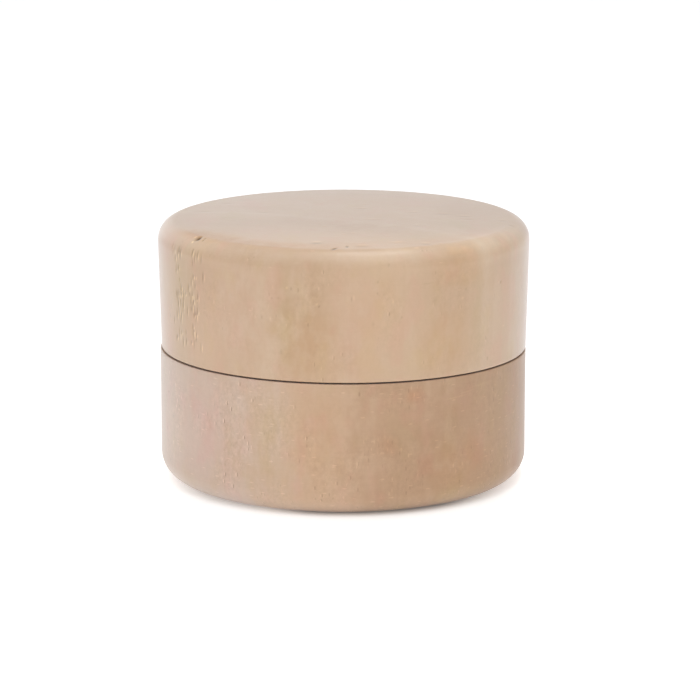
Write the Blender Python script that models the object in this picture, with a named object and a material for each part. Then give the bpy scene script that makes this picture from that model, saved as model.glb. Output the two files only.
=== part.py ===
"""Round wooden keepsake box, turned from two blanks: a base with a raised collar, and a lid that lifts off it.

Lengths are in metres and +Z is up. The origin lies under the middle of the base, on the face that it stands on.
"""

import math

import bmesh
import bpy
from mathutils import Matrix, Vector

MM = 0.001

# The outside: a straight-sided base, and a lid whose side flares a little towards its crown
OUTER_RADIUS = 25.00 * MM  # at its widest, where the lid's side runs into the rounded crown
LID_FLARE = 0.36 * MM  # how much narrower the lid's radius is at its rim
RIM_STEP = 0.08 * MM  # how far the base stands out past the lid's rim
BASE_HEIGHT = 17.60 * MM  # from the underside to the shoulder that carries the lid
LID_HEIGHT = 17.10 * MM
FOOT_ROUND = 3.00 * MM  # rounding between the base's side and its underside
CROWN_ROUND = 2.60 * MM  # rounding between the lid's side and its top face

# The hollow in the base, and the collar that stands up round its mouth
BORE_RADIUS = 18.20 * MM
FLOOR_THICKNESS = 5.00 * MM
BORE_COVE = 1.80 * MM  # rounding where the bore meets the floor
COLLAR_WALL = 2.20 * MM
COLLAR_HEIGHT = 4.60 * MM  # above the shoulder
COLLAR_TAPER = 0.10 * MM  # how much the collar's radius narrows towards its top
COLLAR_EASE = 0.50 * MM  # rounding of the collar's two top edges

# The recess in the lid, which drops over the collar
LID_TOP_THICKNESS = 5.00 * MM
RECESS_COVE = 1.50 * MM  # rounding where the recess's wall meets its ceiling
RECESS_EASE = 0.35 * MM  # rounding of the recess's mouth, which leads the collar in

# How the two halves meet
FIT_CLEARANCE = 0.20 * MM  # between the collar and the recess, on the radius
SEAM_GAP = 0.30 * MM  # the fine dark line between the lid's rim and the shoulder
ARRIS = 0.18 * MM  # the two edges beside that line, sanded just enough to lose their sharpness

# How finely curves are cut into flat faces
SIDES = 96
ARC_ERROR = 0.015 * MM  # how far a flat face may stray from the arc that it stands for

# Sizes that both halves share
LID_RIM_RADIUS = OUTER_RADIUS - LID_FLARE
BASE_RADIUS = LID_RIM_RADIUS + RIM_STEP
COLLAR_RADIUS = BORE_RADIUS + COLLAR_WALL
RECESS_RADIUS = COLLAR_RADIUS + FIT_CLEARANCE


def rounded(corner, before, after, radius):
    """The points of an arc that rounds a corner and touches the straight lines to its two neighbours."""
    to_before = (before - corner).normalized()
    to_after = (after - corner).normalized()
    half_angle = to_before.angle(to_after) / 2
    reach = radius / math.tan(half_angle)
    centre = corner + (to_before + to_after).normalized() * radius / math.sin(half_angle)
    start = corner + to_before * reach - centre
    end = corner + to_after * reach - centre
    turn = math.copysign(math.pi - 2 * half_angle, start.cross(end))
    widest_step = 2 * math.acos(1 - ARC_ERROR / radius)
    steps = max(2, math.ceil(abs(turn) / widest_step))
    return [centre + Matrix.Rotation(turn * k / steps, 2) @ start for k in range(steps + 1)]


def outline(corners):
    """A half section's points, from (radius, height, rounding) corners that run from the axis back to the axis."""
    places = [Vector((radius, height)) for radius, height, _ in corners]
    points = []
    for k, (_, _, rounding) in enumerate(corners):
        if rounding:
            points += rounded(places[k], places[k - 1], places[k + 1], rounding)
        else:
            points.append(places[k])
    return points


def turned(name, corners, material):
    """A solid of revolution about its own Z axis, spun from a half section as on a lathe."""
    mesh = bpy.data.meshes.new(name)
    section = bmesh.new()
    points = [section.verts.new((p.x, 0, p.y)) for p in outline(corners)]
    edges = [section.edges.new(pair) for pair in zip(points, points[1:])]
    bmesh.ops.spin(
        section,
        geom=points + edges,
        cent=(0, 0, 0),
        axis=(0, 0, 1),
        angle=math.tau,
        steps=SIDES,
        use_merge=True,
    )
    bmesh.ops.remove_doubles(section, verts=section.verts, dist=0.001 * MM)
    bmesh.ops.recalc_face_normals(section, faces=section.faces)
    section.to_mesh(mesh)
    section.free()
    mesh.shade_smooth()
    mesh.set_sharp_from_angle(angle=math.radians(40))
    mesh.materials.append(material)
    solid = bpy.data.objects.new(name, mesh)
    bpy.context.scene.collection.objects.link(solid)
    return solid


def bare_wood(name, colour, roughness):
    """Sanded wood with no finish on it."""
    material = bpy.data.materials.new(name)
    material.use_nodes = True
    shader = material.node_tree.nodes["Principled BSDF"]
    shader.inputs["Base Color"].default_value = (*colour, 1)
    shader.inputs["Roughness"].default_value = roughness
    shader.inputs["Metallic"].default_value = 0
    return material


def base():
    """The lower half: a cup with a rounded foot, a shoulder that carries the lid, and a collar round its mouth."""
    collar_top = BASE_HEIGHT + COLLAR_HEIGHT
    corners = [
        (0, 0, 0),
        (BASE_RADIUS, 0, FOOT_ROUND),
        (BASE_RADIUS, BASE_HEIGHT, ARRIS),
        (COLLAR_RADIUS, BASE_HEIGHT, 0),
        (COLLAR_RADIUS - COLLAR_TAPER, collar_top, COLLAR_EASE),
        (BORE_RADIUS, collar_top, COLLAR_EASE),
        (BORE_RADIUS, FLOOR_THICKNESS, BORE_COVE),
        (0, FLOOR_THICKNESS, 0),
    ]
    return turned("base", corners, bare_wood("base_wood", (0.52, 0.36, 0.24), 0.62))


def lid():
    """The upper half: a cap with a rounded crown and a flat recess, modelled from its rim and set on the base."""
    slope = LID_FLARE / (LID_HEIGHT - CROWN_ROUND)
    ceiling = LID_HEIGHT - LID_TOP_THICKNESS
    corners = [
        (0, ceiling, 0),
        (RECESS_RADIUS, ceiling, RECESS_COVE),
        (RECESS_RADIUS, 0, RECESS_EASE),
        (LID_RIM_RADIUS, 0, ARRIS),
        (LID_RIM_RADIUS + slope * LID_HEIGHT, LID_HEIGHT, CROWN_ROUND),
        (0, LID_HEIGHT, 0),
    ]
    cap = turned("lid", corners, bare_wood("lid_wood", (0.60, 0.43, 0.30), 0.58))
    cap.location.z = BASE_HEIGHT + SEAM_GAP
    return cap


for leftover in list(bpy.data.objects):
    bpy.data.objects.remove(leftover)
base()
lid()
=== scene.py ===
# %% [markdown]
# # A small round box, turned from two pieces of wood
# The box has two parts. The base is a cup with a thin collar round its mouth, and the lid is a cap that
# drops over that collar. Both were cut on a lathe, sanded, and left bare. This lesson starts from the plain
# solids of the two parts, which give every place and size, and makes the surface that the eye sees: soft
# sanded edges, tool marks inside, a few small flaws, and solid wood whose grain runs right through each
# piece.

# %% Load the plain solids
import math
import random

import bmesh
import bpy
import numpy as np
from mathutils import Matrix, Vector


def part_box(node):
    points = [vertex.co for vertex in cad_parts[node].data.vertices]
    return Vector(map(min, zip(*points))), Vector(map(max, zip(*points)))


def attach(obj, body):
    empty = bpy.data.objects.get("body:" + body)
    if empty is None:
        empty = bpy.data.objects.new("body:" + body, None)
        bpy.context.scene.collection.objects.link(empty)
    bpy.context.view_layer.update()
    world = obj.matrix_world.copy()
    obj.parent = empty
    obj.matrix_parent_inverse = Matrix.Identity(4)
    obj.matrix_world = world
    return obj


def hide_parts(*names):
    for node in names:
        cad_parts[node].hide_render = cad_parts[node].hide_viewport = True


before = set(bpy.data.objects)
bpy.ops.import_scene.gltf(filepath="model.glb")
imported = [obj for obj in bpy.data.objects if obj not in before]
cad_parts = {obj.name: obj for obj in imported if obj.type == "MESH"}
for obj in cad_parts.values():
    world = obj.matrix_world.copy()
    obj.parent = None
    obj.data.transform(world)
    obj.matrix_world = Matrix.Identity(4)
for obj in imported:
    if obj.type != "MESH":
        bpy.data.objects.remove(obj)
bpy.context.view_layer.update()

MM = 0.001
base_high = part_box("base")[1]
lid_low, lid_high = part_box("lid")
print(f"base: collar top at {base_high.z / MM:.2f} mm")
print(f"lid: {lid_high.x * 2 / MM:.2f} mm across, from {lid_low.z / MM:.2f} to {lid_high.z / MM:.2f} mm")

# %% [markdown]
# ## The sizes that the outline needs
# The solids give the outer sizes. The rest are sizes that a turner would mark on the blank: how thick the
# walls are, how high the collar stands, and how far each edge is rounded. The shoulder and the lid's rim
# are undercut, as turners do it, so that their outer edges meet first. That also keeps light out of the
# seam, so it shows as a fine dark line, and the faces just inside it are darkened further with painted
# shade. The sizes are kept in millimetres here, because that is how small the object is.

# %% Name the sizes of the base and the lid, in millimetres
LID_RADIUS = lid_high.x / MM
LID_TOP = lid_high.z / MM
LID_RIM = lid_low.z / MM
LID_FLARE = 0.36  # the lid is this much narrower in radius at its rim
CROWN = 2.60  # rounding between the lid's side and its top
ROLL_OFF = math.radians(3.2)  # how far the top already slopes where the crown begins
FLAT_TO = 11.0  # the top is flat out to this radius, and sanding has made it fall away gently from there
SEAM = 0.17  # the dark line between the two halves
UNDERCUT = 0.45  # how far the two faces at the seam lean away from each other
ARRIS = 0.14  # the two edges beside it, hardly rounded
SOLID_SEAM = 0.30  # how far apart the plain solids keep the two halves
SHOULDER = LID_RIM - SOLID_SEAM  # the ledge that carries the lid
RIM = SHOULDER + SEAM
RIM_STEP = 0.08  # how far the base stands out past the lid's rim
BASE_RADIUS = LID_RADIUS - LID_FLARE + RIM_STEP
FOOT = 3.30  # rounding between the base's side and its underside
HOLLOWED = 0.12  # how far the underside rises towards its middle, so that the box stands on a ring
COLLAR_TOP = base_high.z / MM
COLLAR = 20.40  # radius of the collar at its foot
TAPER = 0.10  # how much the collar narrows towards its top
EASE = 0.50  # rounding of the collar's two top edges
BORE = 18.20  # radius of the hollow in the base
RECESS = 20.60  # radius of the hollow in the lid
FLOOR = 5.00
CEILING = LID_TOP - 5.00
PIP = 0.12  # height of the small button that the tool leaves at the centre of a hollow
print(f"base radius {BASE_RADIUS:.2f}, shoulder at {SHOULDER:.2f}, recess ceiling at {CEILING:.2f} mm")

# %% [markdown]
# ## Half a section, drawn once
# A turned piece is one outline spun about an axis, so the outline is the whole design. It could be drawn by
# hand as a curve, but then every rounding would be a guess. Here it is a short list of corners, each with a
# radius, a height and a rounding, and two helpers put in the arcs and cut the straight runs into steps. The
# steps are there for later: sanding and tool marks need points to move. They are short where the marks are
# fine and long elsewhere.


# %% Round a corner
def rounded(before, corner, after, radius, step):
    """Points along the arc that rounds a corner."""
    back = (before - corner).normalized()
    on = (after - corner).normalized()
    half = back.angle(on) / 2
    centre = corner + (back + on).normalized() * radius / math.sin(half)
    start = corner + back * radius / math.tan(half) - centre
    end = corner + on * radius / math.tan(half) - centre
    turn = math.copysign(math.pi - 2 * half, start.cross(end))
    count = max(4, math.ceil(abs(turn) * radius / step))
    return [centre + Matrix.Rotation(turn * k / count, 2) @ start for k in range(count + 1)]


# %% Cut an outline into short steps
ARC_STEP = 0.2  # the longest step along a rounding
NEARLY_FLAT = 10  # a rounding wider than this keeps its own step


def outline(corners):
    """A half section from corners of (radius, height, rounding, step, inside).

    The step, and whether the corner is inside, also hold for the run that follows it.
    """
    places = [Vector(corner[:2]) for corner in corners]
    points, inside = [], []
    for k, (_, _, rounding, step, within) in enumerate(corners):
        arc = [places[k]]
        if rounding:
            fine = step if rounding > NEARLY_FLAT else min(step, ARC_STEP)
            arc = rounded(places[k - 1], places[k], places[k + 1], rounding, fine)
        if points:
            start = points[-1]
            run = arc[0] - start
            pieces = max(1, math.ceil(run.length / corners[k - 1][3]))
            points += [start + run * n / pieces for n in range(1, pieces)]
            inside += [corners[k - 1][4]] * (pieces - 1)
        points += arc
        inside += [within] * len(arc)
    return points, inside


# %% Draw the two outlines
base_outline = outline([
    (0, HOLLOWED, 0, 0.9, 0),
    (BASE_RADIUS - FOOT - 1.2, 0, 20, 0.9, 0),
    (BASE_RADIUS, 0, FOOT, 0.45, 0),
    (BASE_RADIUS, SHOULDER, ARRIS, 0.30, 0),
    (COLLAR, SHOULDER - UNDERCUT, 0.10, 0.30, 1),
    (COLLAR - TAPER, COLLAR_TOP, EASE, 0.25, 1),
    (BORE, COLLAR_TOP, EASE, 0.30, 1),
    (BORE, FLOOR, 1.80, 0.25, 1),
    (0.55, FLOOR, 0.15, 0.08, 1),
    (0.30, FLOOR + PIP, 0.08, 0.08, 1),
    (0, FLOOR + PIP, 0, 0.1, 1),
])
lid_slope = LID_FLARE / (LID_TOP - LID_RIM - CROWN)
crown_corner = LID_RADIUS - LID_FLARE + lid_slope * (LID_TOP - LID_RIM)
crown_start = LID_RADIUS - CROWN
corner_height = LID_TOP - CROWN + CROWN / math.cos(ROLL_OFF) - CROWN * math.tan(ROLL_OFF)
roll_middle = (FLAT_TO + crown_start) / 2
roll_radius = (crown_start - FLAT_TO) / 2 / math.tan(ROLL_OFF / 2)
swollen = corner_height + (crown_corner - roll_middle) * math.tan(ROLL_OFF)
lid_outline = outline([
    (0, CEILING - PIP, 0, 0.1, 1),
    (0.30, CEILING - PIP, 0.08, 0.08, 1),
    (0.55, CEILING, 0.15, 0.25, 1),
    (RECESS, CEILING, 1.50, 0.30, 1),
    (RECESS, RIM + UNDERCUT, 0.35, 0.30, 1),
    (LID_RADIUS - LID_FLARE, RIM, ARRIS, 0.45, 0),
    (crown_corner, corner_height, CROWN, 0.7, 0),
    (roll_middle, swollen, roll_radius * 0.99, 0.7, 0),
    (0, swollen, 0, 0.3, 0),
])
print(f"points along the base's section: {len(base_outline[0])}, along the lid's: {len(lid_outline[0])}")

# %% [markdown]
# ## Small helpers for node trees
# Both the lathe and the woods below are node trees with dozens of nodes. Placed by hand in the editor they
# would be easy to see and hard to repeat. A few helpers keep them readable in a script: one places a node
# and fills its inputs, and the others wrap the nodes that turn up most.


# %% Place nodes and fill their inputs
def place(tree, kind, inputs=(), **settings):
    """Adds a node and fills its inputs, by name or by number, with values or with other nodes' outputs."""
    made = tree.nodes.new(kind)
    for name, value in settings.items():
        setattr(made, name, value)
    for name, value in dict(inputs).items():
        if isinstance(value, bpy.types.NodeSocket):
            tree.links.new(value, made.inputs[name])
        else:
            made.inputs[name].default_value = value
    return made


# %% Do arithmetic
def maths(tree, operation, *values):
    """A Math node's result."""
    return place(tree, "ShaderNodeMath", dict(enumerate(values)), operation=operation).outputs[0]


def times(tree, product, *others):
    """A number multiplied by others."""
    for other in others:
        product = maths(tree, "MULTIPLY", product, other)
    return product


def summed(tree, start, *weighted):
    """A number with others added to it, each times its own weight."""
    for value, weight in weighted:
        start = maths(tree, "MULTIPLY_ADD", value, weight, start)
    return start


def change(tree, kind, mesh, **inputs):
    """The mesh as a geometry node changes it."""
    return place(tree, "GeometryNode" + kind, {0: mesh, **inputs}).outputs[0]


# %% Handle vectors
def vectors(tree, operation, *values):
    """A Vector Math node's result."""
    return place(tree, "ShaderNodeVectorMath", dict(enumerate(values)), operation=operation).outputs[0]


def scaled(tree, vector, factor):
    """A vector times a number."""
    return place(tree, "ShaderNodeVectorMath", {0: vector, "Scale": factor}, operation="SCALE").outputs[0]


def length_of(tree, vector):
    """A vector's length."""
    return place(tree, "ShaderNodeVectorMath", {0: vector}, operation="LENGTH").outputs["Value"]


def parts_of(tree, vector):
    """A vector's X, Y and Z."""
    return place(tree, "ShaderNodeSeparateXYZ", {0: vector}).outputs


def upright(tree, height, right=0.0):
    """A vector from a height, and a distance to the right."""
    return place(tree, "ShaderNodeCombineXYZ", {0: right, 2: height}).outputs[0]


# %% Make noise
def noise(tree, vector, scale, detail=2.0, roughness=0.5, w=None):
    """A Noise Texture's value, moved to lie around 0; a w makes it four-dimensional."""
    inputs = {"Vector": vector, "Scale": scale, "Detail": detail, "Roughness": roughness}
    if w is None:
        made = place(tree, "ShaderNodeTexNoise", inputs)
    else:
        made = place(tree, "ShaderNodeTexNoise", {**inputs, "W": w}, noise_dimensions="4D")
    return maths(tree, "SUBTRACT", made.outputs[0], 0.5)


print("helpers: place, maths, times, summed, change, vectors, scaled, length_of, parts_of, upright, noise")

# %% [markdown]
# ## A lathe made of nodes
# Blender's Screw modifier could spin the outline, and it would be exact and lifeless. A tree of Geometry
# Nodes spins it as well and can then do what the turner's hands did: leave tool marks inside, sand the
# outside a little unevenly, wear the two sharp edges at the seam, and part the two halves a hair out of
# square. The tree takes a flat grid with one column for each point of the section, looks every column's
# point up, and wraps the rows round the axis.

# %% Name the lathe's inputs
LATHE_INPUTS = {
    "Sides": ("Int", 300),
    "Sanding Wave": ("Float", 0.03 * MM),
    "Wave Length": ("Float", 9.0 * MM),
    "Tool Mark Depth": ("Float", 0.012 * MM),
    "Tool Mark Pitch": ("Float", 1.1 * MM),
    "Edge Wear": ("Float", 0.08 * MM),
    "Seam Slope X": ("Float", -0.0029),
    "Seam Slope Y": ("Float", -0.0050),
    "Seam Drop": ("Float", 0.050 * MM),
    "Shift X": ("Float", 0.0),
    "Seed": ("Float", 0.0),
    "Wood": ("Material", None),
}
print(f"lathe inputs: {', '.join(LATHE_INPUTS)}")


# %% Spin the section
def named(tree, name):
    """A number stored on the mesh's points."""
    made = place(tree, "GeometryNodeInputNamedAttribute", {"Name": name}, data_type="FLOAT")
    return made.outputs["Attribute"]


def spun_section(tree, given):
    """The section wrapped round the axis: one grid column for each of its points, one row for each side."""
    section = given["Section"]
    size = place(tree, "GeometryNodeAttributeDomainSize", {"Geometry": section}, component="MESH")
    count = size.outputs["Point Count"]
    last = maths(tree, "SUBTRACT", count, 1)
    rows = maths(tree, "ADD", given["Sides"], 1)
    sizes = {"Size X": last, "Size Y": given["Sides"], "Vertices X": count, "Vertices Y": rows}
    mesh = place(tree, "GeometryNodeMeshGrid", sizes).outputs["Mesh"]
    spot = place(tree, "GeometryNodeInputPosition").outputs[0]
    here = parts_of(tree, spot)
    column = maths(tree, "ROUND", maths(tree, "ADD", here[0], maths(tree, "DIVIDE", last, 2)))
    angle = times(tree, maths(tree, "DIVIDE", here[1], given["Sides"]), math.tau)

    def of_section(data_type, field):
        inputs = {"Geometry": section, "Index": column}
        sample = place(tree, "GeometryNodeSampleIndex", inputs, data_type=data_type, domain="POINT")
        tree.links.new(field, next(s for s in sample.inputs if s.name == "Value" and s.enabled))
        return next(s for s in sample.outputs if s.enabled)

    flat = parts_of(tree, of_section("FLOAT_VECTOR", spot))
    x = times(tree, flat[0], maths(tree, "COSINE", angle))
    y = times(tree, flat[0], maths(tree, "SINE", angle))
    spun = place(tree, "ShaderNodeCombineXYZ", {0: x, 1: y, 2: flat[2]}).outputs[0]
    for name in ("run", "inside", "seam_edge", "near_seam", "seam_shade"):
        inputs = {0: mesh, "Name": name, "Value": of_section("FLOAT", named(tree, name))}
        kept = place(tree, "GeometryNodeStoreNamedAttribute", inputs, data_type="FLOAT", domain="POINT")
        mesh = kept.outputs[0]
    mesh = change(tree, "SetPosition", mesh, Position=spun)
    mesh = change(tree, "FlipFaces", mesh)
    return change(tree, "MergeByDistance", mesh, Distance=0.001 * MM)


# %% Leave the marks of hand work
RIDGES_VARY = 120.0  # how busy the noise is that lets the tool's ridges come and go, per metre
WEAR_VARIES = 800.0  # and the one that wears the edges at the seam


def hand_work(tree, given, mesh):
    """Waves from sanding outside, ridges from the tool inside, and wear on the two edges at the seam."""
    spot = place(tree, "GeometryNodeInputPosition").outputs[0]
    shifted = vectors(tree, "ADD", spot, upright(tree, given["Seed"]))
    inside = named(tree, "inside")
    wave = noise(tree, shifted, maths(tree, "DIVIDE", 1, given["Wave Length"]))
    wave = times(tree, wave, given["Sanding Wave"], maths(tree, "SUBTRACT", 1, inside))
    turns = maths(tree, "DIVIDE", named(tree, "run"), given["Tool Mark Pitch"])
    ridges = maths(tree, "SINE", times(tree, turns, math.tau))
    share = maths(tree, "ADD", noise(tree, shifted, RIDGES_VARY), 0.5)
    ridges = times(tree, ridges, share, inside, given["Tool Mark Depth"])
    wear = maths(tree, "MAXIMUM", noise(tree, shifted, WEAR_VARIES, 4.0, 0.6), 0.0)
    wear = times(tree, wear, given["Edge Wear"], named(tree, "seam_edge"))
    height = maths(tree, "SUBTRACT", maths(tree, "ADD", wave, ridges), wear)
    normal = place(tree, "GeometryNodeInputNormal").outputs[0]
    return change(tree, "SetPosition", mesh, Offset=scaled(tree, normal, height))


# %% Part the halves slightly out of square
def uneven_seam(tree, given, mesh):
    """Tilts what lies near the seam, on both halves alike, and sets the piece a hair to one side."""
    here = parts_of(tree, place(tree, "GeometryNodeInputPosition").outputs[0])
    right = times(tree, here[0], given["Seam Slope X"])
    back = times(tree, here[1], given["Seam Slope Y"])
    tilt = maths(tree, "SUBTRACT", maths(tree, "ADD", right, back), given["Seam Drop"])
    lift = times(tree, tilt, named(tree, "near_seam"))
    return change(tree, "SetPosition", mesh, Offset=upright(tree, lift, given["Shift X"]))


# %% Put the lathe together
def lathe_tree():
    """Spins a half section, given as a line of points in the XZ plane, and finishes it as hand work does."""
    tree = bpy.data.node_groups.new("lathe", "GeometryNodeTree")
    tree.interface.new_socket("Section", in_out="INPUT", socket_type="NodeSocketGeometry")
    for name, (kind, default) in LATHE_INPUTS.items():
        socket = tree.interface.new_socket(name, in_out="INPUT", socket_type="NodeSocket" + kind)
        if default is not None:
            socket.default_value = default
    tree.interface.new_socket("Turned", in_out="OUTPUT", socket_type="NodeSocketGeometry")
    given = place(tree, "NodeGroupInput").outputs
    mesh = spun_section(tree, given)
    mesh = hand_work(tree, given, mesh)
    mesh = uneven_seam(tree, given, mesh)
    mesh = change(tree, "SetShadeSmooth", mesh, **{"Shade Smooth": True})
    mesh = change(tree, "RealizeInstances", mesh)
    mesh = change(tree, "SetMaterial", mesh, Material=given["Wood"])
    place(tree, "NodeGroupOutput", {"Turned": mesh})
    return tree


lathe = lathe_tree()
print(f"lathe: {len(lathe.nodes)} nodes")

# %% [markdown]
# ## Solid wood
# Wood is not a picture wrapped round a shape. It is a solid with layers, one for each year, and fibres that
# run up through them like a bundle of straws, and a turned surface cuts through all of it. A tiled texture
# would repeat and would not join up at the crown. So the woods below are worked out at each point in space,
# in millimetres: the distance from the heart of the tree gives the layers, and noise stretched along the
# fibres gives the rest. On the side the fibres show as fine upright lines, and on the top the same fibres
# are cut across and show as dots.


# %% Read a point in space, in millimetres, turned to the layers
def in_wood(tree, look):
    """The plain place, and the place in the wood: along X across the layers, along Z up the fibres."""
    spot = scaled(tree, place(tree, "ShaderNodeTexCoord").outputs["Object"], 1 / MM)
    lean = {"Location": (0, 0, look["seed"]), "Rotation": (*look["lean"], -look["layers_face"])}
    leaned = place(tree, "ShaderNodeMapping", {"Vector": spot, **lean}, vector_type="POINT")
    return spot, leaned.outputs[0]


def stretched(tree, vector, across, along):
    """A vector scaled across the fibres and along them."""
    return vectors(tree, "MULTIPLY", vector, (across, across, along))


def remap(tree, value, low, high, to_low=0.0, to_high=1.0):
    """A value between two limits, eased on to two others."""
    inputs = {"Value": value, 1: low, 2: high, 3: to_low, 4: to_high}
    made = place(tree, "ShaderNodeMapRange", inputs, interpolation_type="SMOOTHSTEP", clamp=True)
    return made.outputs[0]


# %% Name the patterns that the woods are made of
PATTERNS = {  # how busy each is across the fibres and along them, per mm, then its detail and roughness
    "slow warp": (0.045, 0.012, 1.0, 0.5),
    "quick warp": (0.30, 0.035, 2.0, 0.5),
    "clouds": (0.16, 0.07, 2.0, 0.55),
    "mottling": (0.50, 0.32, 2.0, 0.6),
    "hue": (0.26, 0.17, 2.0, 0.6),
    "clusters": (0.20, 0.14, 1.0, 0.5),
    "long fibres": (1.1, 0.10, 1.0, 0.5),
    "short fibres": (1.8, 1.35, 3.0, 0.75),
}


def pattern(tree, wood, name):
    """One of the patterns, as a number around 0."""
    across, along, detail, roughness = PATTERNS[name]
    return noise(tree, stretched(tree, wood, across, along), 1.0, detail, roughness)


print(f"patterns: {', '.join(PATTERNS)}")


# %% Find the layer that a point lies in
def layer_depth(tree, wood, look):
    """How far out a point lies, measured from the heart of the tree and warped as real layers are."""
    from_heart = vectors(tree, "ADD", wood, (look["heart"], 0, 0))
    away = length_of(tree, vectors(tree, "MULTIPLY", from_heart, (1, 1, 0)))
    return summed(
        tree,
        maths(tree, "SUBTRACT", away, look["heart"]),
        (pattern(tree, wood, "slow warp"), look["slow_warp"]),
        (pattern(tree, wood, "quick warp"), look["quick_warp"]),
    )


def along_line(tree, value, scale, detail=1.0):
    """One-dimensional noise, around 0."""
    inputs = {"W": value, "Scale": scale, "Detail": detail}
    made = place(tree, "ShaderNodeTexNoise", inputs, noise_dimensions="1D")
    return maths(tree, "SUBTRACT", made.outputs[0], 0.5)


# %% Tone of the broad bands and of the year rings
BANDS_REACH = 30.0  # the bands are given from this far below zero depth to as far above it, in mm
LINES_PER_RING = 4.5  # each ring has finer lines of its own


def ramp(tree, value, stops):
    """A Color Ramp's colour, from (place, colour) stops."""
    made = place(tree, "ShaderNodeValToRGB", {0: value})
    colours = made.color_ramp
    colours.interpolation = "EASE"
    while len(colours.elements) < len(stops):
        colours.elements.new(1.0)
    for element, (where, colour) in zip(colours.elements, stops):
        element.position = where
        element.color = (*colour, 1)
    return made.outputs[0]


def band_tone(tree, depth, look):
    """Dark or pale by bands, from (depth in mm, tone) pairs, with finer rings over them."""
    where = maths(tree, "ADD", maths(tree, "DIVIDE", depth, 2 * BANDS_REACH), 0.5)
    stops = [(d / (2 * BANDS_REACH) + 0.5, (tone, tone, tone)) for d, tone in look["bands"]]
    rings = along_line(tree, depth, look["rings_per_mm"])
    lines = along_line(tree, depth, look["rings_per_mm"] * LINES_PER_RING, 2.0)
    return summed(tree, ramp(tree, where, stops), (rings, look["ring_tone"]), (lines, look["line_tone"]))


# %% Fibres and flecks
# Cells per mm across the fibres and along them, the size of a fleck in its cell, and where the pattern starts
PORE_CELLS = (2.2, 0.80, 0.30, 3.0)
HAIR_CELLS = (0.80, 2.8, 0.34, 7.0)
PORE_HIGHLIGHT_SHIFT = (0.28, -0.28)  # a pore's painted highlight, a pale lip, lies this much to one side of it


def flecks(tree, wood, cells, share, shift=(0.0, 0.0)):
    """Small flecks: 1 inside one, 0 outside. Only a share of the cells has one."""
    across, along, size, seed = cells
    start = (seed + shift[0], seed * 2 + shift[1], seed * 3)
    moved = vectors(tree, "ADD", stretched(tree, wood, across, along), start)
    found = place(tree, "ShaderNodeTexVoronoi", {"Vector": moved, "Scale": 1.0}).outputs
    near = remap(tree, found["Distance"], size * 0.5, size, 1.0, 0.0)
    chance = parts_of(tree, found["Color"])[0]
    return times(tree, near, maths(tree, "LESS_THAN", chance, share))


def fibres(tree, wood):
    """Streaks along the fibres, long faint ones and short broken ones together, around 0."""
    long_ones = pattern(tree, wood, "long fibres")
    short_ones = pattern(tree, wood, "short fibres")
    return summed(tree, 0.0, (long_ones, 0.15), (short_ones, 0.85))


# %% End grain, with painted light on the top and the crown
def end_grain_and_painted_light(tree, spot, at_back, at_front):
    """How much light comes back from the cut ends of the fibres, and how much painted sheen a slope gets.

    The open straws swallow some of the light where they are cut square. That loss is painted larger at the
    back, and at the front it turns into a painted brightening, as if the top were lit more from the front.
    Where the top turns down into the crown, the painted sheen makes the colour cooler and a little paler.
    """
    up = maths(tree, "ABSOLUTE", parts_of(tree, place(tree, "ShaderNodeNewGeometry").outputs["Normal"])[2])
    loss = remap(tree, parts_of(tree, spot)[1], -23.0, -4.0, at_front, at_back)
    kept = maths(tree, "SUBTRACT", 1.0, times(tree, maths(tree, "POWER", up, 8.0), loss))
    return kept, times(tree, maths(tree, "POWER", up, 3.0), maths(tree, "SUBTRACT", 1.0, up), 9.5)


# %% Scratches from sanding on the lathe
LINES_PER_MM = 6.0
LINES_BREAK = 3.0  # how often a line ends and the next begins on the way round


def sanding(tree, spot):
    """Fine lines that run round the axis, on the side and on the top alike, around 0."""
    flat = vectors(tree, "MULTIPLY", spot, (1, 1, 0))
    round_it = scaled(tree, vectors(tree, "NORMALIZE", flat), LINES_BREAK)
    height = upright(tree, times(tree, parts_of(tree, spot)[2], LINES_PER_MM))
    radius = times(tree, length_of(tree, flat), LINES_PER_MM)
    return noise(tree, vectors(tree, "ADD", round_it, height), 1.0, 3.0, 0.65, radius)


# %% Name the tints of the patches
# the pale, brown and orange tints serve both the wood's own patches and painted light, and the amber one only
# painted shade
TINTS = {
    "pale_and_painted_highlight": (1.215, 1.28, 1.33),
    "brown_and_painted_shade": (0.90, 0.86, 0.81),
    "orange_and_painted_light": (1.01, 0.95, 0.86),
    "pink": (1.02, 0.955, 0.99),
    "olive": (0.96, 0.985, 0.93),
    "red": (1.02, 0.88, 0.82),
    "amber_painted_shade": (0.95, 0.80, 0.58),
}
print(f"tints: {', '.join(TINTS)}")

# %% Colour the wood
PALE_FLAW_TINT = (1.0, 1.03, 0.90)  # the pale flaws are a little yellower: painted highlights on lifted fibres and dents, and paler streaks in the base
SEAM_SHADE_TINT = (0.91, 0.78, 0.60)  # painted shade: the faces just inside the seam are made darker and browner


def tinted(tree, amount, colour, tint):
    """A colour multiplied by a tint, as far as the amount says."""
    inputs = {0: amount, 6: colour, 7: (*tint, 1)}
    return place(tree, "ShaderNodeMix", inputs, data_type="RGBA", blend_type="MULTIPLY").outputs[2]


def stored(tree, name):
    """A number that is stored on the mesh's points, as the shader reads it."""
    return place(tree, "ShaderNodeAttribute", attribute_name=name).outputs["Fac"]


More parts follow.
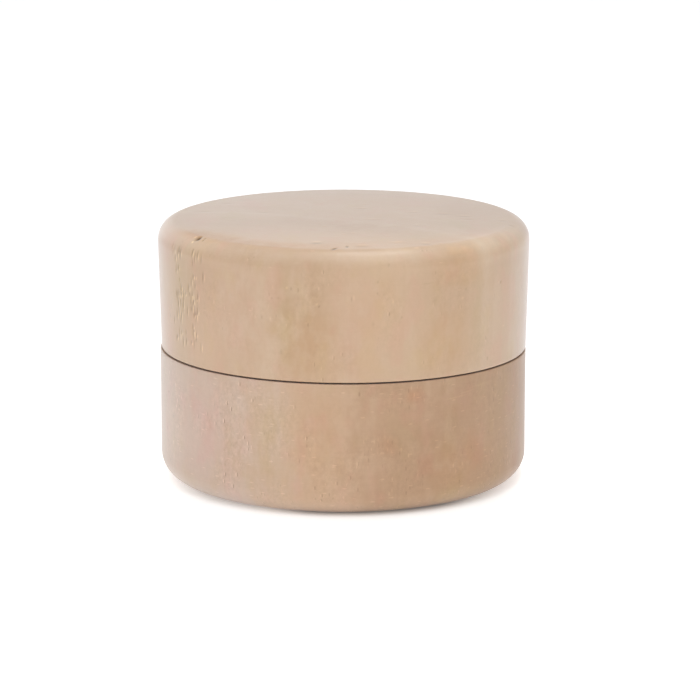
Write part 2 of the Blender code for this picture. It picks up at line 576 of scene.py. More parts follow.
def wood_colour(tree, wood, look):
    """The colour by bands, clouds and mottling, tinted by hue, by patches and by painted light; and its tone
    alone.
    """
    mottling = pattern(tree, wood, "mottling")
    tone = summed(
        tree,
        band_tone(tree, layer_depth(tree, wood, look), look),
        (pattern(tree, wood, "clouds"), look["cloud_tone"]),
        (mottling, look["mottle_tone"]),
    )
    colour = ramp(tree, tone, look["colours"])
    hue = pattern(tree, wood, "hue")
    colour = tinted(tree, remap(tree, hue, 0.02, 0.22), colour, look["pink"])
    colour = tinted(tree, remap(tree, hue, -0.02, -0.22), colour, look["yellow"])
    uneven = remap(tree, mottling, -0.15, 0.15, 0.70, 1.15)
    # some patches are painted light: highlights on the crown and at the foot, shade round the top's near rim,
    # reflection on an outline
    for kind, tint in TINTS.items():
        colour = tinted(tree, times(tree, stored(tree, kind), uneven), colour, tint)
    # pale flaws: painted highlights on lifted fibres and on the far sides of the dents
    pale_flaws = maths(tree, "MAXIMUM", times(tree, stored(tree, "flaw_tone_and_painted_light"), -1.0), 0.0)
    colour = tinted(tree, pale_flaws, colour, PALE_FLAW_TINT)
    # painted shade: the faces just inside the seam are made darker and browner
    return tinted(tree, stored(tree, "seam_shade"), colour, SEAM_SHADE_TINT), tone


# %% Gather the fine marks
def fine_marks(tree, spot, wood, look):
    """Streaks, pores, fuzz together with the pores' painted highlights, sanding lines, and where the pores
    crowd together.
    """
    crowded = remap(tree, pattern(tree, wood, "clusters"), *look["clusters"])
    crowded = times(tree, crowded, summed(tree, 0.70, (stored(tree, "fuzzy"), 0.65)))
    pores = times(tree, flecks(tree, wood, PORE_CELLS, look["pores"]), crowded)
    pore_highlights = times(tree, flecks(tree, wood, PORE_CELLS, look["pores"], PORE_HIGHLIGHT_SHIFT), crowded)
    hairs = times(tree, flecks(tree, wood, HAIR_CELLS, look["hairs"]), 0.7)
    fuzz_and_pore_highlights = maths(tree, "MAXIMUM", pore_highlights, hairs)
    return fibres(tree, wood), pores, fuzz_and_pore_highlights, sanding(tree, spot), crowded


# %% Put the wood together
# how much a flaw's number darkens the wood: pores, torn ticks and the nick, and painted shade on the near
# sides of the dents; below 0 it lightens, as a painted highlight
FLAW_SHADE = -0.36
EDGE_HIGHLIGHT = 0.16  # painted highlight: the two edges at the seam are made paler, as their rounding catches the light
SHADE_TINT = (0.92, 1.00, 1.14)  # a darker mark is browner too, because it loses more blue than red


def solid_wood(name, look):
    """A bare, sanded wood, from a dictionary that says how it looks."""
    material = bpy.data.materials.new(name)
    material.use_nodes = True
    tree = material.node_tree
    shader = tree.nodes["Principled BSDF"]
    spot, wood = in_wood(tree, look)
    colour, tone = wood_colour(tree, wood, look)
    straw, pores, fuzz_and_pore_highlights, lines, crowded = fine_marks(tree, spot, wood, look)
    shade = summed(
        tree,
        0.0,
        (times(tree, straw, summed(tree, 0.8, (crowded, 1.3))), look["fibre_tone"]),
        (pores, -look["pore_tone"]),
        (stored(tree, "flaw_tone_and_painted_light"), FLAW_SHADE),
        (fuzz_and_pore_highlights, look["fuzz_tone"]),
        (lines, look["scratch_tone"]),
        # painted highlight on the two edges at the seam
        (maths(tree, "POWER", stored(tree, "seam_edge"), 3.0), EDGE_HIGHLIGHT),
    )
    shade = vectors(tree, "MULTIPLY_ADD", shade, SHADE_TINT, (1, 1, 1))
    # painted light: the top darker at the back and lighter at the front, and a painted sheen on its slope
    # into the crown
    kept, painted_slope_sheen = end_grain_and_painted_light(tree, spot, *look["end_grain_and_painted_light"])
    colour = tinted(tree, painted_slope_sheen, vectors(tree, "MULTIPLY", colour, shade), look["painted_slope_sheen"])
    tree.links.new(scaled(tree, colour, kept), shader.inputs["Base Color"])

    rough = summed(tree, remap(tree, tone, 0.1, 0.9, *look["roughness"]), (straw, 0.25), (fuzz_and_pore_highlights, 0.15))
    tree.links.new(rough, shader.inputs["Roughness"])
    height = summed(tree, 0.0, (straw, 0.6), (pores, -0.7), (lines, 0.5), (fuzz_and_pore_highlights, 0.6))
    bump = place(tree, "ShaderNodeBump", {"Strength": 1.0, "Distance": look["bump"] * MM, "Height": height})
    tree.links.new(bump.outputs[0], shader.inputs["Normal"])
    shader.inputs["Sheen Weight"].default_value = look["sheen"]
    shader.inputs["Sheen Tint"].default_value = (0.94, 0.95, 1.0, 1)
    shader.inputs["Sheen Roughness"].default_value = 0.35
    print(f"{name}: {len(tree.nodes)} nodes")
    return material


# %% [markdown]
# ## Two different pieces of wood
# The lid and the base don't match on this box: the lid is a pale straw colour with a few darker, more
# orange bands, and the base is browner, pinkish on one side, with more fuzz. The two woods share one
# recipe, and a dictionary says what is different. The bands are a short list of depths and tones, because
# where a band falls is chance on a real blank, and a list is the plainest way to choose it.

# %% The lid's wood
LID_LOOK = {
    "seed": 0.0,
    "lean": (math.radians(0.5), math.radians(-0.4)),
    "layers_face": math.radians(63),
    "heart": 90.0,
    "slow_warp": 1.2,
    "quick_warp": 0.5,
    "bands": [
        (-25, 0.3), (-24.4, 0.36), (-23.8, 0.5), (-21.9, 0.52), (-21.2, 0.42), (-14, 0.42),
        (-12.4, 0.6), (-7.6, 0.64), (-5.6, 0.44), (-3.6, 0.24), (-2, 0.38), (1.5, 0.46), (3, 0.32),
        (11, 0.45), (17, 0.62), (24, 0.3),
    ],
    "rings_per_mm": 0.40,
    "ring_tone": 0.22,
    "line_tone": 0.10,
    "cloud_tone": 0.35,
    "mottle_tone": 0.45,
    "colours": [
        (0.0, (0.610, 0.455, 0.325)),
        (0.5, (0.560, 0.388, 0.254)),
        (1.0, (0.510, 0.335, 0.210)),
    ],
    "pink": (1.02, 0.965, 0.985),
    "yellow": (0.995, 1.00, 0.94),
    "fibre_tone": 0.17,
    "clusters": (0.00, 0.14),
    "pores": 0.14,
    "pore_tone": 0.20,
    "hairs": 0.010,
    "fuzz_tone": 0.14,
    "scratch_tone": 0.05,
    "end_grain_and_painted_light": (0.15, -0.05),
    "painted_slope_sheen": (1.00, 1.035, 1.085),
    "roughness": (0.40, 0.40),
    "bump": 0.024,
    "sheen": 0.64,
}
lid_wood = solid_wood("lid_wood", LID_LOOK)

# %% The base's wood
BASE_LOOK = {
    "seed": 61.0,
    "lean": (math.radians(-0.6), math.radians(0.5)),
    "layers_face": math.radians(12),
    "heart": 60.0,
    "slow_warp": 3.0,
    "quick_warp": 0.9,
    "bands": [
        (-25, 0.08), (-14, 0.16), (-9, 0.3), (-5, 0.44), (0, 0.58), (3, 0.8), (7, 0.95), (12, 0.85),
        (18, 0.95), (25, 0.85),
    ],
    "rings_per_mm": 0.30,
    "ring_tone": 0.16,
    "line_tone": 0.08,
    "cloud_tone": 0.30,
    "mottle_tone": 0.35,
    "colours": [
        (0.0, (0.580, 0.440, 0.350)),
        (0.5, (0.545, 0.368, 0.244)),
        (1.0, (0.440, 0.275, 0.165)),
    ],
    "pink": (1.02, 0.96, 0.985),
    "yellow": (0.985, 1.00, 0.95),
    "fibre_tone": 0.26,
    "clusters": (-0.08, 0.08),
    "pores": 0.28,
    "pore_tone": 0.22,
    "hairs": 0.130,
    "fuzz_tone": 0.24,
    "scratch_tone": 0.08,
    "end_grain_and_painted_light": (0.15, -0.05),
    "painted_slope_sheen": (1.00, 1.035, 1.085),
    "roughness": (0.44, 0.55),
    "bump": 0.030,
    "sheen": 0.42,
}
base_wood = solid_wood("base_wood", BASE_LOOK)

# %% [markdown]
# ## Turn the two pieces
# The outline goes in as a line of points, with a few numbers stored on them that the lathe reads: how far
# along the section a point is, whether it is inside, and how near it is to the seam. What comes out is
# copied to a plain mesh, and the modifier is removed, so that the finished piece doesn't depend on the
# lathe any more.


# %% Store the section as a line of points
def store(mesh, name, values):
    """Stores a number on each of the mesh's points."""
    mesh.attributes.new(name, "FLOAT", "POINT").data.foreach_set("value", np.array(values, np.float32))


def fading(away, full, fade):
    """1 out to one distance, and fading to 0 over the next."""
    return min(1.0, max(0.0, 1 - (away - full) / fade))


def seam_shade_amount(radius):
    """How much painted shade the seam's two faces get: nothing at the edge itself or far in, and most just
    inside it.
    """
    return 0.0 if radius > BASE_RADIUS - 0.1 else fading(BASE_RADIUS - radius, 1.0, 1.0)


def section_mesh(name, points, inside):
    """The outline as a line of points in metres, with the numbers that the lathe reads."""
    mesh = bpy.data.meshes.new(name)
    lines = [(k, k + 1) for k in range(len(points) - 1)]
    mesh.from_pydata([(p.x * MM, 0, p.y * MM) for p in points], lines, [])
    seam_middle = SHOULDER + SEAM / 2
    spots = [(p.x, abs(p.y - seam_middle)) for p in points]
    store(mesh, "run", np.cumsum([0.0] + [(b - a).length for a, b in zip(points, points[1:])]) * MM)
    store(mesh, "inside", inside)
    store(mesh, "seam_edge", [fading(off, 0.0, 0.6) if r > COLLAR + 2 else 0.0 for r, off in spots])
    store(mesh, "near_seam", [fading(off, 0.6, 4.0) for _, off in spots])
    store(mesh, "seam_shade", [seam_shade_amount(r) if off < SEAM + UNDERCUT else 0.0 for r, off in spots])
    return mesh


# %% Spin it and keep the result
def turned(name, drawn, wood, **settings):
    """One turned piece: the section, spun and finished, as a plain mesh."""
    piece = bpy.data.objects.new(name, section_mesh(name, *drawn))
    bpy.context.scene.collection.objects.link(piece)
    modifier = piece.modifiers.new("lathe", "NODES")
    modifier.node_group = lathe
    sockets = {s.name: s.identifier for s in lathe.interface.items_tree if s.in_out == "INPUT"}
    for label, value in {"Wood": wood, **settings}.items():
        modifier[sockets[label]] = value
    view = bpy.context.evaluated_depsgraph_get()
    spun = bpy.data.meshes.new_from_object(piece.evaluated_get(view))
    piece.modifiers.clear()
    piece.data = spun
    return piece


def report(piece):
    """Prints a piece's size and whether it is closed."""
    made = bmesh.new()
    made.from_mesh(piece.data)
    triangles = sum(len(f.verts) - 2 for f in made.faces)
    volume = made.calc_volume(signed=True) * 1e6
    open_edges = sum(not e.is_manifold for e in made.edges)
    print(f"{piece.name}: {triangles} triangles, {volume:.2f} cm3, {open_edges} open edges")
    made.free()


base = turned("turned_base", base_outline, base_wood, **{"Seed": 0.3})
lid = turned("turned_lid", lid_outline, lid_wood, **{"Seed": 0.7, "Shift X": 0.09 * MM})
report(base)
report(lid)

# %% [markdown]
# ## Small flaws
# A hand-sanded box has a few: a nick on the crown, some open pores, a tick or two in the base, and on the
# left of the lid a patch of torn grain, where the tool lifted short fibres instead of cutting them. A bump
# map would only shade them. Here each flaw is a shallow scoop in the mesh itself, so it stays when the
# piece is exported. The lathe's faces are too wide for that, so the mesh is first made finer round each
# flaw. A scoop also leaves a number on the points that it moves, and the wood's shader reads it to darken
# the scoop, or to lighten a lifted fibre as a painted highlight. The top has wide, very shallow dents too:
# each has painted shade with a painted highlight behind it, as a dent looks when the light comes from the
# back.


# %% Find a place on the surface
def on_surface(azimuth, radius, height):
    """A point in metres, from degrees to the right of the front, and a radius and height in mm."""
    turn = math.radians(azimuth)
    return Vector((radius * math.sin(turn), -radius * math.cos(turn), height)) * MM


def placed(marks):
    """Flaws or patches with a point in place of their azimuth, radius and height."""
    return [(on_surface(*where), *rest) for where, *rest in marks]


def finer(piece, wanted, cuts):
    """Cuts the faces whose middle is wanted into a finer grid."""
    mesh = bmesh.new()
    mesh.from_mesh(piece.data)
    faces = (face for face in mesh.faces if wanted(face.calc_center_median()))
    edges = {edge for face in faces for edge in face.edges}
    bmesh.ops.subdivide_edges(mesh, edges=list(edges), cuts=cuts, use_grid_fill=True)
    mesh.to_mesh(piece.data)
    mesh.free()
    print(f"{piece.name}: {len(edges)} edges cut")


# %% Scoop out the flaws
def on_points(mesh, what):
    """The places or the normals of a mesh's points, one row for each."""
    values = np.empty(len(mesh.vertices) * 3)
    mesh.vertices.foreach_get(what, values)
    return values.reshape(-1, 3)


def scoop(piece, flaws):
    """Presses each flaw in: (point, length, width, depth, turn in degrees from upright, tone), in mm."""
    mesh = piece.data
    points = on_points(mesh, "co")
    normals = on_points(mesh, "normal")
    tones = np.zeros(len(points))
    pushes = np.zeros(len(points))
    for point, length, width, depth, turn, tone in flaws:
        away = (points - np.array(point)) / MM
        nearby = np.flatnonzero((away ** 2).sum(axis=1) < (length + 0.2) ** 2)
        if not len(nearby):
            continue
        away = away[nearby]
        closest = nearby[(away ** 2).sum(axis=1).argmin()]
        outward = Vector(normals[closest])
        side = Vector((-point.y, point.x, 0)).normalized()
        up = outward.cross(side).normalized()
        long_way = up * math.cos(math.radians(turn)) + side * math.sin(math.radians(turn))
        short_way = outward.cross(long_way)
        lengthways = away @ np.array(long_way) / (length / 2)
        sideways = away @ np.array(short_way) / (width / 2)
        reach = lengthways ** 2 + sideways ** 2
        share = np.exp(-reach ** 1.3)
        pushes[nearby] = np.maximum(pushes[nearby], share * depth * MM)
        stronger = np.abs(share * tone) > np.abs(tones[nearby])
        tones[nearby] = np.where(stronger, share * tone, tones[nearby])
    mesh.vertices.foreach_set("co", (points - normals * pushes[:, None]).ravel())
    store(mesh, "flaw_tone_and_painted_light", tones)
    mesh.update()
    print(f"{piece.name}: {len(flaws)} flaws, deepest {pushes.max() / MM:.2f} mm")


# %% List the flaws of the lid
lid_flaws = placed([  # azimuth, radius, height; then length, width, depth, turn and tone
    ((-53.5, 23.4, 34.75), 0.98, 0.74, 0.22, 5, 2.6),  # the nick on the crown
    ((-55.6, 23.3, 34.8), 0.44, 0.26, 0, 0, -1.4),
    ((-54.4, 24.1, 34.3), 0.34, 0.3, 0, 0, -1.3),
    ((-50.6, 23.2, 34.9), 0.38, 0.26, 0.05, 0, 1.2),
    ((-50.4, 23.6, 34.7), 0.38, 0.26, 0.05, 0, 1.1),
    ((-2.7, 22.5, 35), 1.1, 0.5, 0.08, 30, 1.9),
    ((1.5, 21.4, 35.1), 0.9, 0.4, 0.06, 0, 1.6),
    ((55.6, 24.9, 29), 0.35, 0.3, 0.05, 0, 0.7),
    ((54.6, 24.9, 29.1), 0.3, 0.2, 0, 0, -0.45),
    ((28.3, 24.9, 28.1), 0.8, 0.5, 0.02, 15, 0.28),
    ((13.7, 24.9, 33.2), 0.45, 0.22, 0.03, 10, 0.4),
    ((-21.1, 24.9, 30.2), 0.5, 0.2, 0, 4, -0.28),
    ((-22.3, 24.9, 29.2), 0.55, 0.18, 0.04, -4, 0.37),
    ((-21.4, 24.9, 28.7), 0.3, 0.22, 0.03, 0, 0.37),
    ((-19.4, 24.9, 28.8), 0.3, 0.24, 0.03, 20, 0.37),
    ((-16.7, 24.9, 30.2), 0.34, 0.34, 0, 0, -0.5),
    ((-15.4, 24.9, 30.1), 0.4, 0.2, 0.05, 0, 0.62),
    ((-7.6, 24.9, 28.2), 0.4, 0.26, 0, 35, -0.5),
    ((-7, 24.9, 27.9), 0.34, 0.18, 0.05, 35, 0.62),
    ((-24.8, 24.9, 26.1), 0.45, 0.18, 0.04, 0, 0.5),
    ((-22, 24.9, 26), 0.5, 0.18, 0, 0, -0.37),
    ((3.3, 24.9, 29.1), 0.7, 0.18, 0, -4, -0.43),
    ((2.6, 24.9, 28.9), 0.6, 0.16, 0.04, -4, 0.5),
    ((10.4, 24.9, 31.1), 0.4, 0.2, 0.03, 0, 0.43),
    ((10.3, 24.9, 29.6), 0.35, 0.2, 0.03, 0, 0.43),
    ((15, 24.9, 28.4), 0.5, 0.22, 0, 8, -0.43),
    ((17.7, 24.9, 26.3), 0.35, 0.22, 0.03, 0, 0.43),
    ((26, 24.9, 30.5), 1.6, 0.18, 0.01, 88, 0.25),
    ((38.4, 24.9, 28), 0.45, 0.34, 0, 0, -0.37),
    ((39.7, 24.9, 29.1), 0.35, 0.2, 0.03, 0, 0.37),
    ((9, 24.9, 25.6), 0.6, 0.34, 0.01, 0, 0.22),
    ((-18.7, 24.9, 21.7), 0.9, 0.24, 0.01, 0, 0.22),
])
print(f"flaws on the lid: {len(lid_flaws)}")

# %% Scatter the torn fibres, each dark, and most with a pale lifted one beside it, as a painted highlight
LID_SIDE = 24.9  # radius of the lid's side
TORN_STRIPS = (-60.0, -51.5)  # azimuths of the two strips of the torn patch
TORN_MIDDLE = -55.5
TORN_COUNT = 84
chance = random.Random(12)
torn = []
for _ in range(TORN_COUNT):
    azimuth = chance.choice(TORN_STRIPS) + max(-4.6, min(4.6, chance.gauss(0, 2.1)))
    height = chance.uniform(20.4, 33.2)
    long_way = chance.uniform(0.45, 1.5)
    wide = chance.uniform(0.17, 0.28)
    tone = chance.uniform(0.45, 1.20)
    torn.append(((azimuth, LID_SIDE, height), long_way, wide, 0.05, 3, tone))
    if chance.random() < 0.8:
        tone = chance.uniform(-1.15, -0.6)
        torn.append(((azimuth + 0.65, LID_SIDE, height - 0.2), long_way * 0.7, wide, 0.0, 3, tone))
torn = placed(torn)
print(f"torn fibres: {len(torn)}")

# %% List the dents of the top, each with painted shade on its near side and a painted highlight on its far side
DENTS = [  # x and y of the middle, how wide, tone of the near side's painted shade and of the far side's painted highlight
    (-18.6, 3.7, 1.8, 0.22, 0),
    (-15.8, 10.1, 1.6, 0.22, 0),
    (-10.7, 2.2, 1.4, 0.2, -0.16),
    (2.5, 5, 1.7, 0.3, -0.26),
    (9.6, 2.2, 1.8, 0.2, -0.3),
    (13.6, 0.9, 2.2, 0.4, -0.15),
    (16.3, -0.6, 1.8, 0.4, -0.3),
    (16.6, -2.7, 1.5, 0.25, 0),
    (3.9, -3.6, 1.8, 0.22, -0.22),
    (9.9, -8.1, 1.1, 0.3, -0.1),
    (21.3, -2.8, 1, 0.35, -0.2),
    (22.4, -5.7, 0.9, 0.3, 0),
    (-3.4, -19.4, 1.5, 0.75, -0.45),
    (2.6, -21.3, 1.9, 0.38, -0.32),
    (7, -19.3, 2.2, 0, -0.4),
    (10.7, -19.5, 1.4, 0.45, -0.3),
]
DENT_HEIGHT = 35.1
dents = []
for x, y, wide, dark, pale_and_painted_highlight in DENTS:
    across = 90 + math.degrees(math.atan2(x, -y))
    dents.append((Vector((x, y, DENT_HEIGHT)) * MM, wide, 0.9, 0.02, across, dark))
    dents.append((Vector((x, y + 1.0, DENT_HEIGHT)) * MM, wide * 0.8, 0.8, 0.0, across, pale_and_painted_highlight))
print(f"dents: {len(DENTS)}")

# %% List the flaws of the base
base_flaws = placed([
    ((5, 24.72, 16.4), 0.6, 0.2, 0.06, 0, 0.9),
    ((-69.9, 24.72, 13), 0.25, 0.3, 0.04, 0, 0.8),
    ((37, 24.72, 14.9), 3.4, 0.18, 0, 86, -0.3),
    ((41.5, 24.72, 15.4), 2.6, 0.16, 0, 84, -0.26),
    ((46, 24.72, 15.9), 3.6, 0.16, 0, 87, -0.22),
])
print(f"flaws on the base: {len(base_flaws)}")


# %% Make the mesh finer round the flaws, and press them in
def near_any(flaws):
    """Whether a place lies near one of the flaws."""
    spots = [(point, (length / 2 + 0.35) * MM) for point, length, *_ in flaws]
    return lambda here: any((here - point).length < reach for point, reach in spots)


def in_torn_patch(here):
    """Whether a place lies where the grain of the lid is torn."""
    azimuth = math.degrees(math.atan2(here.x, -here.y))
    on_side = here.xy.length > (LID_RADIUS - 1) * MM
    return on_side and abs(azimuth - TORN_MIDDLE) < 10 and 20.0 * MM < here.z < 33.6 * MM


finer(lid, in_torn_patch, 3)
finer(lid, near_any(dents), 2)
finer(lid, near_any(lid_flaws), 4)
finer(base, near_any(base_flaws), 4)
scoop(lid, lid_flaws + torn + dents)
scoop(base, base_flaws)
report(base)
report(lid)

# %% [markdown]
# ## Patches of colour
# Wood also changes colour from place to place for no reason that a recipe could know: a brown streak, a
# pinkish side. Other patches are painted light: paler edges on the crown and at the foot are painted
# highlights, a pinkish tinge on the lid's left outline is painted reflection, and a warm, browner rim round
# the near half of the top is painted shade. Such patches could be painted by hand. Here each is one entry in
# a list under its tint: where its middle is, how far it reaches sideways and up, and how strong it is. It is
# stored as a number on the points, and the wood's shader tints by it. Fuzzy patches don't tint: they say
# where the pores crowd together. Two more lists would do for any other box.

# %% List the patches of the lid
LID_PATCHES = {  # azimuth, radius, height; then the reach sideways, the reach upwards and the strength
    # the entries at radius 22 from -57.5 to -12.5 degrees are painted shade along the top's near-left rim
    "brown_and_painted_shade": [
        ((-11.5, 24.9, 25.5), 4.3, 9, 1), ((-27, 24.9, 27), 3.4, 8, 0.35),
        ((-1, 24.9, 21.5), 2.4, 5, 0.45), ((-57.5, 22.2, 35), 2.2, 1.2, 0.9),
        ((-50, 21.9, 35), 2.2, 1.1, 0.9), ((-42.5, 22, 35), 2.2, 1.1, 0.9),
        ((-35, 21.9, 35), 2.2, 1.1, 0.9), ((-27.5, 22, 35), 2.2, 1, 0.7),
        ((-20, 22.1, 35), 2.2, 0.9, 0.6), ((-12.5, 22.2, 35), 2, 0.8, 0.4),
        ((-61.1, 6.6, 35.3), 3.4, 3, 0.35), ((-17.7, 5.7, 35.3), 3.4, 3, 0.5),
        ((15.1, 8.7, 35.3), 3.4, 3, 0.65), ((32.2, 11.6, 35.2), 3.2, 3, 0.5),
        ((41.9, 14.2, 35.2), 3, 3, 0.3), ((105, 17.2, 35.1), 5, 4, 0.45),
        ((-99.6, 22.2, 35), 4, 2, 0.4),
    ],
    # the entries on the top's rim, at radius 20.6 to 22.4, and the one on the crown at 38.7 degrees are
    # painted light
    "orange_and_painted_light": [
        ((-10.5, 24.9, 22.5), 3.6, 4.5, 0.6), ((12.5, 24.9, 28), 2.8, 4, 0.4),
        ((33, 24.9, 22.5), 3.8, 4.5, 0.7), ((38, 24.9, 31.8), 4.2, 2.2, 0.7),
        ((34, 6.6, 35.2), 13, 9, 0.4), ((-61, 22.4, 35), 4, 1.7, 0.6),
        ((12, 20.6, 35.05), 3.4, 2, 0.4), ((21, 20.8, 35.05), 3.4, 2, 0.5),
        ((30, 20.9, 35.05), 3, 2, 0.7), ((36, 21, 35.05), 3, 1.9, 0.8),
        ((42, 21.3, 35.05), 3, 1.8, 0.8), ((48, 22, 35.05), 3, 1.4, 0.6),
        ((38.7, 24.2, 34.3), 3, 1, 1),
    ],
    "olive": [
        ((-56, 24.9, 27.5), 3, 6, 0.7), ((-17.5, 24.9, 25), 0.9, 7, 0.7),
        ((44.5, 24.9, 25), 1.1, 7, 0.7), ((-86.6, 14.9, 35.2), 3.2, 2.2, 0.9),
        ((67.5, 16.1, 35.2), 2.8, 2.8, 0.9), ((34, 18, 35.1), 2.6, 2.2, 0.75),
    ],
    # the two entries on the left outline, at -74 and -70 degrees, are painted reflection
    "pink": [
        ((-38, 24.9, 26), 6, 8, 0.6), ((4, 24.9, 24), 3, 8, 0.6), ((-74, 24.9, 21), 4, 4, 0.7),
        ((-70, 24.3, 33.5), 3, 2, 0.7), ((-45.2, 15, 35.2), 3, 3, 0.6),
        ((-126.3, 15.5, 35.2), 3, 3, 1), ((-82.7, 18.9, 35.1), 2.6, 2.2, 0.9),
        ((133, 13.5, 35.2), 2.6, 2.6, 0.75), ((58.3, 21.4, 35), 3, 1.8, 0.9),
    ],
    # the entries on the crown, at radius 23.4 to 24.6, are painted highlights
    "pale_and_painted_highlight": [
        ((-51, 24.2, 33.9), 6, 1.7, 0.58), ((58, 24, 34.3), 9, 2.2, 0.85),
        ((44, 23.7, 34.6), 3, 1.2, 0.3), ((13, 24.5, 33.95), 3.5, 0.9, 0.35),
        ((20.5, 24.3, 34.15), 3, 0.9, 0.38), ((29.5, 24.4, 34.1), 3.2, 0.9, 0.42),
        ((22, 24.6, 33), 6, 1.3, 0.24), ((-47, 24.9, 21.5), 3.2, 5, 0.27),
        ((56, 24.9, 24), 4, 7, 0.24), ((-86, 15, 35.2), 3.2, 6, 0.24),
        ((17.8, 23.4, 34.8), 2.6, 0.9, 0.42), ((24, 23.4, 34.8), 2.4, 0.9, 0.28),
        ((31, 23.5, 34.8), 3, 1, 0.4), ((39.5, 23.8, 34.65), 3, 1.3, 0.8),
    ],
    "fuzzy": [
        ((-8, 24.9, 29.5), 14, 3.5, 1),
    ],
    # all painted shade: a warm rim round the near half of the top
    "amber_painted_shade": [
        ((-60, 22.3, 35.05), 2.4, 1.3, 0.7), ((-54.5, 22, 35.05), 2.4, 1.6, 0.8),
        ((-49.5, 21.6, 35.05), 2.4, 2, 1), ((-43.5, 21.6, 35.05), 2.4, 1.6, 0.9),
        ((-37.5, 21.8, 35.05), 2.4, 1.2, 0.7), ((-31.5, 21.6, 35.05), 2.4, 1.4, 0.7),
        ((-25.5, 21.5, 35.05), 2.4, 1.4, 0.75), ((-19.5, 21.5, 35.05), 2.4, 1.4, 0.8),
        ((-13.5, 21.5, 35.05), 2.4, 1.4, 0.8), ((-6, 21.3, 35.05), 3.4, 1.6, 0.55),
        ((3, 20.8, 35.05), 3.4, 2, 0.45),
    ],
}
print(f"patches on the lid: {sum(map(len, LID_PATCHES.values()))}")

# %% List the patches of the base
BASE_PATCHES = {
    "pink": [
        ((-44, 24.7, 9), 6.5, 7, 0.75), ((37, 24.7, 14), 3, 2, 0.6),
    ],
    "olive": [
        ((-25, 24.7, 9), 4.5, 7, 0.6), ((19.5, 24.7, 10.8), 2.6, 1.8, 0.9),
        ((57, 24.7, 13), 2.4, 3, 0.5), ((42, 23.9, 1.3), 6, 1.8, 0.8), ((-56, 23.9, 1.3), 5, 2, 0.7),
    ],
    "orange_and_painted_light": [
        ((-7, 24.7, 10), 3.2, 7, 0.5), ((38, 24.7, 6), 5, 3.6, 0.8),
    ],
    "brown_and_painted_shade": [
        ((-2, 24.7, 11), 4.2, 8, 0.55), ((30, 24.7, 9), 2.6, 8, 0.35),
    ],
    # the three entries at the foot are painted light from the floor, and the one at -68 degrees is painted
    # reflection on the left outline
    "pale_and_painted_highlight": [
        ((14, 24.7, 14), 5.5, 3, 0.21), ((54, 24.7, 10), 5, 9, 0.21), ((-68, 24.7, 9), 5, 9, 0.21),
        ((-6, 23.6, 1.2), 9, 1.8, 0.15), ((22, 23.9, 1.3), 4, 1.8, 0.3),
        ((40, 23.9, 1.3), 4.5, 1.8, 0.32),
    ],
    "red": [
        ((21.8, 24.7, 15.8), 0.9, 0.9, 0.8), ((14, 24.7, 9.4), 1.3, 1.3, 0.4),
    ],
    "fuzzy": [
        ((-42, 24.7, 9), 13, 9, 1),
    ],
}
print(f"patches on the base: {sum(map(len, BASE_PATCHES.values()))}")


# %% Store the patches on the points
def store_patches(piece, patches):
    """One number for each tint: how strong its patches are at each point."""
    points = on_points(piece.data, "co")
    for kind in (*TINTS, "fuzzy"):
        amounts = np.zeros(len(points))
        for middle, sideways, upwards, strength in placed(patches.get(kind, ())):
            away = (points - np.array(middle)) / MM
            along = away @ np.array(Vector((-middle.y, middle.x, 0)).normalized())
            across = np.sqrt(np.maximum((away ** 2).sum(axis=1) - along ** 2, 0))
            share = np.exp(-np.abs(along / sideways) ** 3 - (across / upwards) ** 3)
            amounts = np.maximum(amounts, share * strength)
        store(piece.data, kind, amounts)
        print(f"{piece.name}: {kind} on {(amounts > 0.1).sum()} points")


store_patches(lid, LID_PATCHES)
store_patches(base, BASE_PATCHES)

# %% [markdown]
# ## Hang each piece on its solid's body, and hide the solid
# Each turned piece stands for one plain solid and rides on that solid's body, so the lid comes off with its
# mesh.

# %% Tie the pieces to the solids
for piece, node, slot in ((base, "base", "base_wood"), (lid, "lid", "lid_wood")):
    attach(piece, node)
    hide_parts(node)
    print(f"{piece.name} rides on {node}")

# %% [markdown]
# ## A white table
# The box stands on plain white paper that runs off in all directions. Paper lit only by lamps would turn
# grey away from them, so this one also glows a little by itself, and what is left of the box's shadow is
# faint. It glows least in a short line in front of the foot, which keeps the thin dark line there, and a
# little more beside the box and behind it.

# %% Lay the paper
UNDER = -0.02 * MM  # the sanding waves reach a little below the plain solid's underside
floor_mesh = bpy.data.meshes.new("floor")
floor_corners = [(-3, -3, UNDER), (3, -3, UNDER), (3, 3, UNDER), (-3, 3, UNDER)]
floor_mesh.from_pydata(floor_corners, [], [(0, 1, 2, 3)])
floor = bpy.data.objects.new("floor", floor_mesh)
bpy.context.scene.collection.objects.link(floor)
paper = bpy.data.materials.new("white_paper")
paper.use_nodes = True
floor_mesh.materials.append(paper)
print("floor: 6 m of white paper")

# %% Let it glow
tree = paper.node_tree
spot = place(tree, "ShaderNodeTexCoord").outputs["Object"]
right, back, _ = parts_of(tree, spot)
away = length_of(tree, spot)
near_foot = remap(tree, away, 25.0 * MM, 22.2 * MM)
from_left = remap(tree, right, -11.0 * MM, -3.0 * MM)
from_right = remap(tree, right, 21.0 * MM, 12.0 * MM)
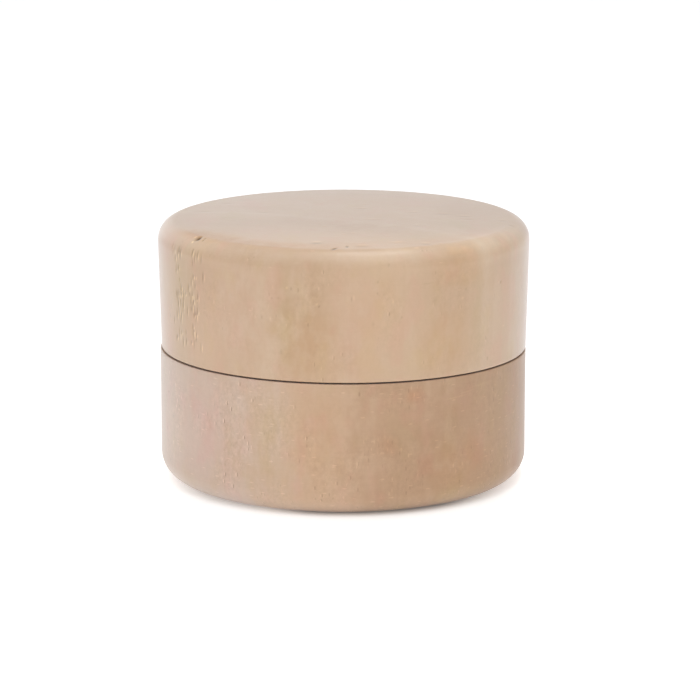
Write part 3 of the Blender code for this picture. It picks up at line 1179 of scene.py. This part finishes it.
# painted shadow: the glow is cut in a short line in front of the foot; beside and behind the box it is
# raised, painting out the box's shadow
line = times(tree, from_left, from_right, near_foot)
glow = remap(tree, away, 21.4 * MM, 28.0 * MM, 0.25, 0.41)
glow = times(tree, glow, summed(tree, 1.0, (line, -0.70)))
beside = times(tree, remap(tree, back, -19.0 * MM, 0.0), remap(tree, away, 30.0 * MM, 24.5 * MM))
shader = tree.nodes["Principled BSDF"]
tree.links.new(summed(tree, glow, (beside, 0.27)), shader.inputs["Emission Strength"])
shader.inputs["Emission Color"].default_value = (1, 1, 1, 1)
shader.inputs["Base Color"].default_value = (0.82, 0.82, 0.82, 1)
shader.inputs["Roughness"].default_value = 0.9
shader.inputs["Specular IOR Level"].default_value = 0.0
print(f"white_paper: {len(tree.nodes)} nodes")

# %% [markdown]
# ## Soft light from all round
# The box was lit as small goods are, inside a white tent. A bare surface shows its tent at a low angle: the
# top and the two sides of the outline look cooler and greyer than the middle, because they mirror the
# bright wall behind. So the tent is not one even grey. It is the sum of a few soft patches, each brightest
# in one direction, and how strong each is was found from how white the top and the outline look. A small
# lamp over the box gives the crown its highlight, and a large one fills in the front.

# %% Hang the tent
world = bpy.data.worlds.new("light_tent")
bpy.context.scene.world = world
world.use_nodes = True
sky = world.node_tree
toward = place(sky, "ShaderNodeTexCoord").outputs["Generated"]
WALLS = {  # where each soft patch is, how narrow and how strong
    "front wall": ((0, -1, 0.2), 2.0, 1.12),
    "back wall": ((0, 1, 0.15), 12.0, 1.10),
    "left back corner": ((-0.7, 1, 0.15), 8.0, 1.27),
    "roof": ((0, 0, 1), 2.0, 0.75),
}
bright = 0.0
for wall, (direction, narrow, strength) in WALLS.items():
    inputs = {0: toward, 1: tuple(Vector(direction).normalized())}
    facing = place(sky, "ShaderNodeVectorMath", inputs, operation="DOT_PRODUCT").outputs["Value"]
    patch = maths(sky, "POWER", maths(sky, "MAXIMUM", facing, 0.0), narrow)
    bright = maths(sky, "MULTIPLY_ADD", patch, strength, bright)
    print(f"{wall}: {strength}")
sky.links.new(bright, sky.nodes["Background"].inputs["Strength"])
sky.nodes["Background"].inputs["Color"].default_value = (1, 1, 1, 1)


# %% Hang two lamps
def soft_lamp(name, where, size, power):
    """A rectangular lamp aimed at the box."""
    data = bpy.data.lights.new(name, "AREA")
    data.shape = "RECTANGLE"
    data.size, data.size_y = size
    data.energy = power
    lamp = bpy.data.objects.new(name, data)
    bpy.context.scene.collection.objects.link(lamp)
    lamp.location = where
    lamp.rotation_euler = (Vector((0, 0, 0.02)) - lamp.location).to_track_quat("-Z", "Y").to_euler()
    print(f"{name}: {power} W")


soft_lamp("top_lamp", (0.03, 0.04, 0.26), (0.10, 0.06), 0.15)
soft_lamp("soft_box", (-0.06, -0.22, 0.75), (0.60, 0.50), 1.4)
bpy.context.scene.view_settings.view_transform = "Standard"

# %% [markdown]
# ## The camera
# It looks a little down at the box from not quite half a metre, through a long lens. The distance, the
# height and the lens were worked out together, from how round the top looks and how much narrower the box
# is at its far side.

# %% Place the camera
DISTANCE = 0.45
ELEVATION = math.radians(12.446)
PICTURE = 700  # width of the picture, in pixels
FOCAL_PIXELS = 3316.1  # the focal length, counted in the same pixels
SENSOR = 36  # width of the sensor, in millimetres
aim = Vector((0.933 * MM, 0, 16.79 * MM))
camera_data = bpy.data.cameras.new("camera")
camera = bpy.data.objects.new("camera", camera_data)
bpy.context.scene.collection.objects.link(camera)
camera_data.sensor_width = SENSOR
camera_data.lens = SENSOR * FOCAL_PIXELS / PICTURE
camera_data.clip_start = 0.01
camera.location = aim + Vector((0, -math.cos(ELEVATION), math.sin(ELEVATION))) * DISTANCE
camera.rotation_euler = (math.pi / 2 - ELEVATION, 0, 0)
bpy.context.scene.camera = camera
print(f"camera: {camera_data.lens:.0f} mm lens at {DISTANCE} m")
